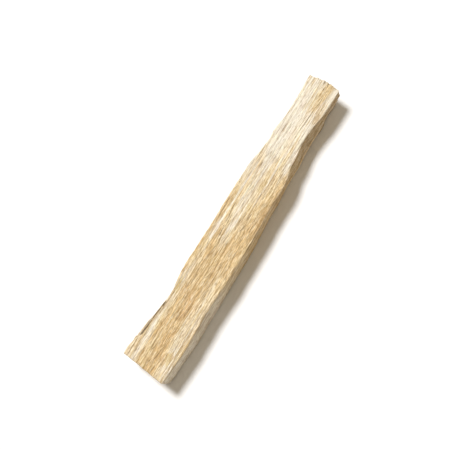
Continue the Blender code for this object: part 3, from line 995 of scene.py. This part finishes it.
def makeGrowthLayers(fibreGrain):
    # yearly layers around a heart far below the left side, wobbling along the stick
    tree, given, out = newGroup("growthLayers", {"Spacing": 1.5, "Wobble": 1.0}, "Value")
    parts = addNode(tree, "ShaderNodeSeparateXYZ", {0: given["Place"]}).outputs
    heartX, heartZ = woodLook["layerHeart"]
    x = maths(tree, "ADD", parts[0], heartX)
    z = maths(tree, "ADD", parts[2], heartZ)
    reach = maths(tree, "SQRT", maths(tree, "ADD", product(tree, x, x), product(tree, z, z)))
    wobble = placeGroup(tree, fibreGrain, {
        "Place": given["Place"], "Across": 4.0, "Along": 45.0, "Wander": 0.0, "Patch": 3.0,
        "Detail": 2.0})["Value"]
    reach = maths(tree, "ADD", reach, product(tree, wobble, given["Wobble"]))
    turn = maths(tree, "FRACT", maths(tree, "DIVIDE", reach, given["Spacing"]))
    rise = spread(tree, turn, 0.0, 0.8)
    fall = spread(tree, turn, 0.86, 1.0)
    tree.links.new(product(tree, rise, maths(tree, "SUBTRACT", 1.0, fall)), out["Value"])
    return tree


print("making the wood")
fibreGrain = makeFibreGrain()
grainDashes = makeDashes(fibreGrain)
growthLayers = makeGrowthLayers(fibreGrain)


def layOver(tree, colour, name, *shares, way="MIX"):
    # lays one of the wood's colours over another, by the product of the shares
    return mixColour(tree, product(tree, *shares), colour, woodLook["colours"][name], way)


def makeSplitWood():
    wood = bpy.data.materials.new("splitWood")
    wood.use_nodes = True
    tree = wood.node_tree
    shader = tree.nodes["Principled BSDF"]
    share = woodLook["shares"]
    # the grain runs where the mesh carries it, around the knot too
    shift = addNode(tree, "ShaderNodeCombineXYZ", {0: readMark(tree, "grainShift")}).outputs[0]
    place = vectorMaths(tree, "ADD", {0: millimetres(tree), 1: shift})

    grain = {}
    for name, (across, along, wander, patch, detail) in woodLook["grain"].items():
        grain[name] = placeGroup(tree, fibreGrain, {
            "Place": place, "Across": across, "Along": along, "Wander": wander, "Patch": patch,
            "Detail": detail})["Value"]
    for name, (across, along, least, softness, patch) in woodLook["dashes"].items():
        grain[name] = placeGroup(tree, grainDashes, {
            "Place": place, "Across": across, "Along": along, "Least": least,
            "Softness": softness, "Patch": patch})["Mask"]
    fine, fibres, streaks = grain["fine"], grain["fibres"], grain["streaks"]
    for name, low, high in (("darkFlecks", 0.62, 0.38), ("paleFlecksAndSheen", 0.38, 0.62)):
        grain[name] = product(tree, grain[name], spread(tree, fibres, low, high, (0.5, 1.0)))
    # the veins are thin lines where their noise crosses its middle, broken up along the stick
    fromMiddle = maths(tree, "ABSOLUTE", maths(tree, "SUBTRACT", grain["veins"], 0.5))
    grain["veins"] = product(tree, spread(tree, fromMiddle, 0.045, 0.012),
                             spread(tree, fine, 0.6, 0.42, (0.25, 1.0)))
    layers = placeGroup(tree, growthLayers, {
        "Place": place, "Spacing": woodLook["layerSpacing"], "Wobble": woodLook["layerWobble"],
    })["Value"]

    # honey, cream and ivory by how pale the wood is at each place
    shade = readMark(tree, "paleMark")
    for name, amount in woodLook["shade"].items():
        change = product(tree, maths(tree, "SUBTRACT", grain[name], 0.5), amount)
        shade = maths(tree, "ADD", shade, change)
    colour = woodLook["colours"]["honey"]
    colour = layOver(tree, colour, "cream", spread(tree, shade, 0.1, 0.6))
    colour = layOver(tree, colour, "ivory", spread(tree, shade, 0.5, 1.1))
    for name, tint in (("pinkish", "pink"), ("greenish", "olive")):
        tintShare = spread(tree, grain[name], 0.5, 0.75, (0.0, 0.7))
        colour = layOver(tree, colour, tint, tintShare, way="MULTIPLY")
    for name in ("orange", "yellow"):
        colour = layOver(tree, colour, name, readMark(tree, name + "Mark"),
                         spread(tree, streaks, 0.3, 0.6, (0.5, 0.85)))

    # darker grain
    strength = readMark(tree, "fleckMark")
    colour = layOver(tree, colour, "tan", spread(tree, streaks, 0.53, 0.72), strength,
                     share["streaks"])
    colour = layOver(tree, colour, "tan", spread(tree, grain["lines"], 0.54, 0.64),
                     spread(tree, fine, 0.4, 0.6, (0.4, 0.85)), strength)
    colour = layOver(tree, colour, "tan", grain["veins"], strength, share["veins"])
    onEnds = spread(tree, readMark(tree, "endMark"), 0.0, 1.0, (0.1, 0.4))
    colour = layOver(tree, colour, "tan", layers, onEnds)
    # the brown carries painted shade too: the line under the edge of the grain face and the line
    # at the foot of the right side
    colour = layOver(tree, colour, "brown", readMark(tree, "brownMark"), share["brown"])

    # flecks with painted sheen, pores, a painted highlight along the right top edge, and cracks
    # with painted shade
    colour = layOver(tree, colour, "pale", spread(tree, fine, 0.5, 0.3), share["fineLights"])
    # pale flecks, partly painted sheen
    colour = layOver(tree, colour, "pale", grain["paleFlecksAndSheen"], share["paleFlecksAndSheen"])
    fineDarks = spread(tree, fine, 0.5, 0.72)
    colour = layOver(tree, colour, "fleck", fineDarks, strength, share["fineDarks"])
    for name in ("darkFlecks", "pores"):
        colour = layOver(tree, colour, "fleck", grain[name], strength, share[name])
    colour = layOver(tree, colour, "tan", readMark(tree, "poreMark"), share["meshPores"])
    # painted highlight along the right top edge
    colour = layOver(tree, colour, "pale", readMark(tree, "paintedEdgeHighlight"), share["edge"])
    # painted shade in the cracks, in the split strip and at the foot of the right side
    colour = layOver(tree, colour, "crack", readMark(tree, "paintedShadeMark"),
                     spread(tree, fibres, 0.3, 0.7, (0.95, 0.75)))
    tree.links.new(colour, shader.inputs["Base Color"])

    least, added = woodLook["roughness"]
    rough = maths(tree, "ADD", product(tree, fine, added), least)
    tree.links.new(rough, shader.inputs["Roughness"])
    height = 0.0
    for name, amount in woodLook["bump"].items():
        height = maths(tree, "ADD", product(tree, grain[name], amount), height)
    bump = addNode(tree, "ShaderNodeBump", {
        "Height": height, "Strength": woodLook["bumpStrength"], "Distance": woodLook["bumpDepth"]})
    tree.links.new(bump.outputs["Normal"], shader.inputs["Normal"])
    shader.inputs["Specular IOR Level"].default_value = woodLook["specular"]
    return wood


splitWood = makeSplitWood()
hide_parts("stick")
for woodPiece in (stickBody, looseSliver, fibrePiece):
    woodPiece.data.materials.append(splitWood)
    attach(woodPiece, "root")

# A plain pale floor, one soft light from the upper left and an even sky.
studio = {
    "floorSize": 3.0,
    "floorColour": (0.965, 0.965, 0.97, 1.0),
    "floorRoughness": 0.9,
    "floorSpecular": 0.1,
    "sunStrength": 3.2,
    "sunColour": (0.975, 0.985, 1.0),
    "sunSoftness": 16.0,           # degrees
    "sunFrom": (-1.0, 0.12, 1.75),
    "skyStrength": 0.33,
    "skyColour": (1.0, 0.875, 0.68, 1.0),
}


def buildStudio():
    size = studio["floorSize"]
    corners = np.array([(-size, -size, 0), (size, -size, 0), (size, size, 0), (-size, size, 0)])
    floor = meshFrom("floor", corners, np.array([[0, 1, 2, 3]]), {})
    paper = bpy.data.materials.new("palePaper")
    paper.use_nodes = True
    shader = paper.node_tree.nodes["Principled BSDF"]
    shader.inputs["Base Color"].default_value = studio["floorColour"]
    shader.inputs["Roughness"].default_value = studio["floorRoughness"]
    shader.inputs["Specular IOR Level"].default_value = studio["floorSpecular"]
    floor.data.materials.append(paper)

    sun = bpy.data.lights.new("softKey", "SUN")
    sun.energy = studio["sunStrength"]
    sun.color = studio["sunColour"]
    sun.angle = math.radians(studio["sunSoftness"])
    lamp = bpy.data.objects.new("softKey", sun)
    direction = np.array(studio["sunFrom"]) / np.linalg.norm(studio["sunFrom"])
    side = np.cross((0.0, 0.0, 1.0), direction)
    side /= np.linalg.norm(side)
    lamp.matrix_world = Matrix([side, np.cross(direction, side), direction]).transposed().to_4x4()
    bpy.context.collection.objects.link(lamp)

    world = bpy.data.worlds.new("studioSky")
    world.use_nodes = True
    sky = world.node_tree.nodes["Background"]
    sky.inputs["Strength"].default_value = studio["skyStrength"]
    sky.inputs["Color"].default_value = studio["skyColour"]
    bpy.context.scene.world = world
    bpy.context.scene.view_settings.view_transform = "Standard"


print("setting the studio")
buildStudio()
